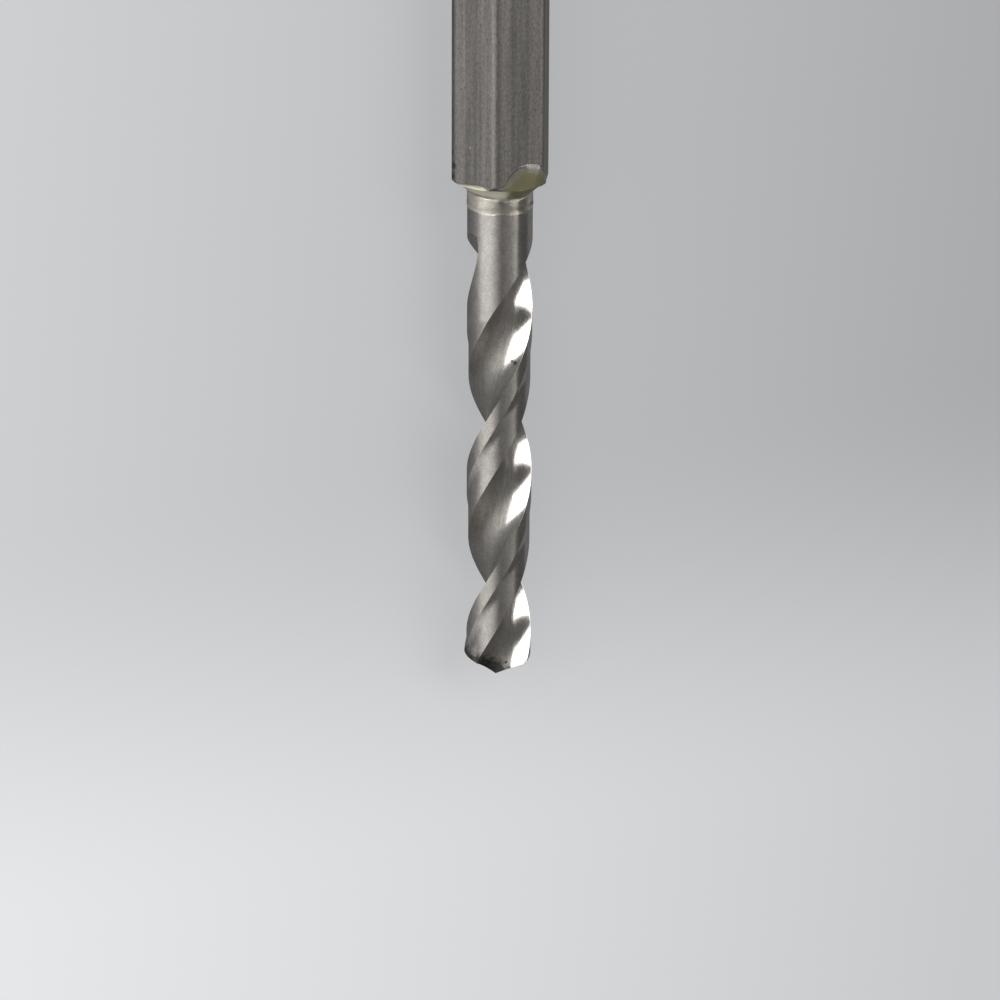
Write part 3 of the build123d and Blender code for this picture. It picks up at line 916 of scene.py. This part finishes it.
# Milky cream where the left lamp falls: painted light
painted_lit_cream = add(tree, MATH, [depth, cream_amount], operation="MULTIPLY")
clear_tints = {"Factor": depth, "A": linear("FCFAF4"), "B": linear("A39C78")}
clear_tint = add(tree, MIX, clear_tints, data_type="RGBA")
tints = {"Factor": painted_lit_cream, "A": clear_tint, "B": linear("E8E4CE")}
tint = add(tree, MIX, tints, data_type="RGBA")
painted_cream_scatter = add(tree, MATH, [painted_lit_cream, 0.7], operation="MULTIPLY")
scattering = add(tree, MATH, [depth, 0.25, painted_cream_scatter], operation="MULTIPLY_ADD")
clear = add(tree, MATH, [1.0, scattering], operation="SUBTRACT")
matt = add(tree, MATH, [depth, 0.22, 0.07], operation="MULTIPLY_ADD")
resin_finish = {"Base Color": tint, "Roughness": matt, "IOR": 1.5, "Transmission Weight": clear}
add(tree, "ShaderNodeOutputMaterial", [add(tree, "ShaderNodeBsdfPrincipled", resin_finish)])
print("finished", cured_resin.name)

# %% [markdown]
# ## The floor
# The bit lies on pale matt paper. The paper itself is a mid grey, so that it
# keeps the bit's shadow and doesn't flood the steel with light from below. What
# makes it pale is a glow for the rays that see it: the camera's, and those
# that have passed through resin. Reflected rays get a sixth of the glow,
# because in the photo the bit stands clear of the paper and mirrors a dim
# room. The glow is lighter on the left and at the bottom, as in the photo.

# %% Make the floor
FLOOR_HALF = 1.5
GLOW_LEFT, GLOW_RIGHT, GLOW_BELOW_POINT = 0.51, 0.28, 0.195
GLOW_MIRRORED = 0.17
paper = bpy.data.materials.new("matt_paper")
tree = emptied_tree(paper)
ray = add(tree, "ShaderNodeLightPath").outputs
seen = add(tree, MATH, [ray["Is Camera Ray"], ray["Is Transmission Ray"]], operation="MAXIMUM")
mirrored = add(tree, MATH, [ray["Is Glossy Ray"], GLOW_MIRRORED], operation="MULTIPLY")
pale = add(tree, MATH, [seen, mirrored], operation="ADD")
floor_place = add(tree, "ShaderNodeTexCoord").outputs["Object"]
on_floor = add(tree, "ShaderNodeSeparateXYZ", [floor_place]).outputs
sideways = add(tree, MAP_RANGE, [on_floor["X"], -40 * MM, 40 * MM, GLOW_LEFT, GLOW_RIGHT])
below_point = [on_floor["Y"], -48 * MM, -16 * MM, GLOW_BELOW_POINT, 0.0]
nearer = add(tree, MAP_RANGE, below_point, interpolation_type="SMOOTHSTEP")
level = add(tree, MATH, [sideways, nearer], operation="ADD")
glow = add(tree, MATH, [pale, level], operation="MULTIPLY")
# To the eye: pale, matt paper without any gloss
paper_finish = {
    "Base Color": linear("646668"), "Roughness": 0.95, "Specular IOR Level": 0.1,
    "Emission Color": linear("FAFBFD"), "Emission Strength": glow,
}
add(tree, "ShaderNodeOutputMaterial", [add(tree, "ShaderNodeBsdfPrincipled", paper_finish)])

floor_mesh = bpy.data.meshes.new("floor")
corners = [(x * FLOOR_HALF, y * FLOOR_HALF, 0) for x, y in ((-1, -1), (1, -1), (1, 1), (-1, 1))]
floor_mesh.from_pydata(corners, [], [(0, 1, 2, 3)])
floor_mesh.materials.append(paper)
in_scene("floor", floor_mesh)
print("floor is", 2 * FLOOR_HALF, "m wide")

# %% [markdown]
# ## The light
# The steel shows what surrounds it, so each lamp is placed by its mirror
# image. Ground steel in the photo has a wide white stripe on the left and a
# narrow one on the right with a dark gap between them: two soft boxes high on
# either side of the camera. The right one leans, which gives the slanted dark
# patches in the flutes. The room itself is dim, with one soft, paler wall low
# on the left that lights the greyer zone beside the white stripe.

# %% Two soft boxes in a dim room
AIM = Vector((0, -19.43 * MM, AXIS_HEIGHT))
LAMP_DISTANCE = 0.5


def direction(turn, raised):
    """Unit direction by degrees round the bit, from +X up to +Z, and towards its drive end."""
    turn, raised = math.radians(turn), math.radians(raised)
    out = math.cos(raised)
    return Vector((out * math.cos(turn), math.sin(raised), out * math.sin(turn)))


def facing_bit(turn, raised, lean):
    """Rotation of what looks at the bit from a direction and leans by some degrees."""
    back, up = direction(turn, raised), direction(turn, raised + 90)
    upright = Matrix((up.cross(back), up, back)).transposed()
    return (upright @ Matrix.Rotation(math.radians(lean), 3, "Z")).to_euler()


def soft_box(name, turn, raised, width, height, strength, lean):
    """A rectangular lamp that faces the bit. strength is its brightness where 1 is white."""
    lamp = bpy.data.lights.new(name, "AREA")
    lamp.shape = "RECTANGLE"
    lamp.size, lamp.size_y = width, height
    lamp.energy = strength * math.pi * width * height
    holder = in_scene(name, lamp)
    holder.location = AIM + direction(turn, raised) * LAMP_DISTANCE
    holder.rotation_euler = facing_bit(turn, raised, lean)
    print(f"{name}: {turn} degrees round, {raised} degrees up, {lamp.energy:.2f} W")


soft_box("left_soft_box", 149, 27, width=0.54, height=0.40, strength=3.5, lean=8)
soft_box("right_soft_box", 60, 27, width=0.20, height=0.62, strength=5.2, lean=42)

# The middle of the paler wall, and how far from it the wall has faded into the room
WALL = direction(156, -8)
WALL_HALF_ANGLE = math.radians(48)
ROOM_STRENGTH, WALL_STRENGTH = 0.10, 0.72
room = bpy.data.worlds.new("dim_room")
bpy.context.scene.world = room
tree = emptied_tree(room)
looking = add(tree, "ShaderNodeTexCoord").outputs["Generated"]
towards_wall = add(tree, VECTOR_MATH, [looking, WALL], operation="DOT_PRODUCT")
wall = [towards_wall, math.cos(WALL_HALF_ANGLE), 1.0, ROOM_STRENGTH, WALL_STRENGTH]
strength = add(tree, MAP_RANGE, wall, interpolation_type="SMOOTHSTEP")
shader = add(tree, "ShaderNodeBackground", {"Color": linear("FFFFFF"), "Strength": strength})
add(tree, "ShaderNodeOutputWorld", {"Surface": shader})

# %% [markdown]
# ## The camera
# The camera keeps the photo's angle to the bit. It looks at the front corner
# of the hexagon, 5.5 degrees off it, from 21 degrees towards the drive end,
# with the drive end up and out of the picture.

# %% Place the camera
VIEW_TURN, VIEW_RAISED, VIEW_LEAN = 114.5, 21.0, 0.212
VIEW_DISTANCE = 0.45
VIEW_SHIFT = 0.0731 * MM

camera_data = bpy.data.cameras.new("camera")
camera_data.sensor_width = 36.0
camera_data.lens = 232.6
camera_data.clip_start = 0.01
camera = in_scene("camera", camera_data)
camera.rotation_euler = facing_bit(VIEW_TURN, VIEW_RAISED, VIEW_LEAN)
rightwards = direction(VIEW_TURN - 90, 0)
towards_camera = direction(VIEW_TURN, VIEW_RAISED)
camera.location = AIM + rightwards * VIEW_SHIFT + towards_camera * VIEW_DISTANCE
bpy.context.scene.camera = camera
bpy.context.scene.view_settings.view_transform = "Standard"
print("camera at", [round(part, 3) for part in camera.location])
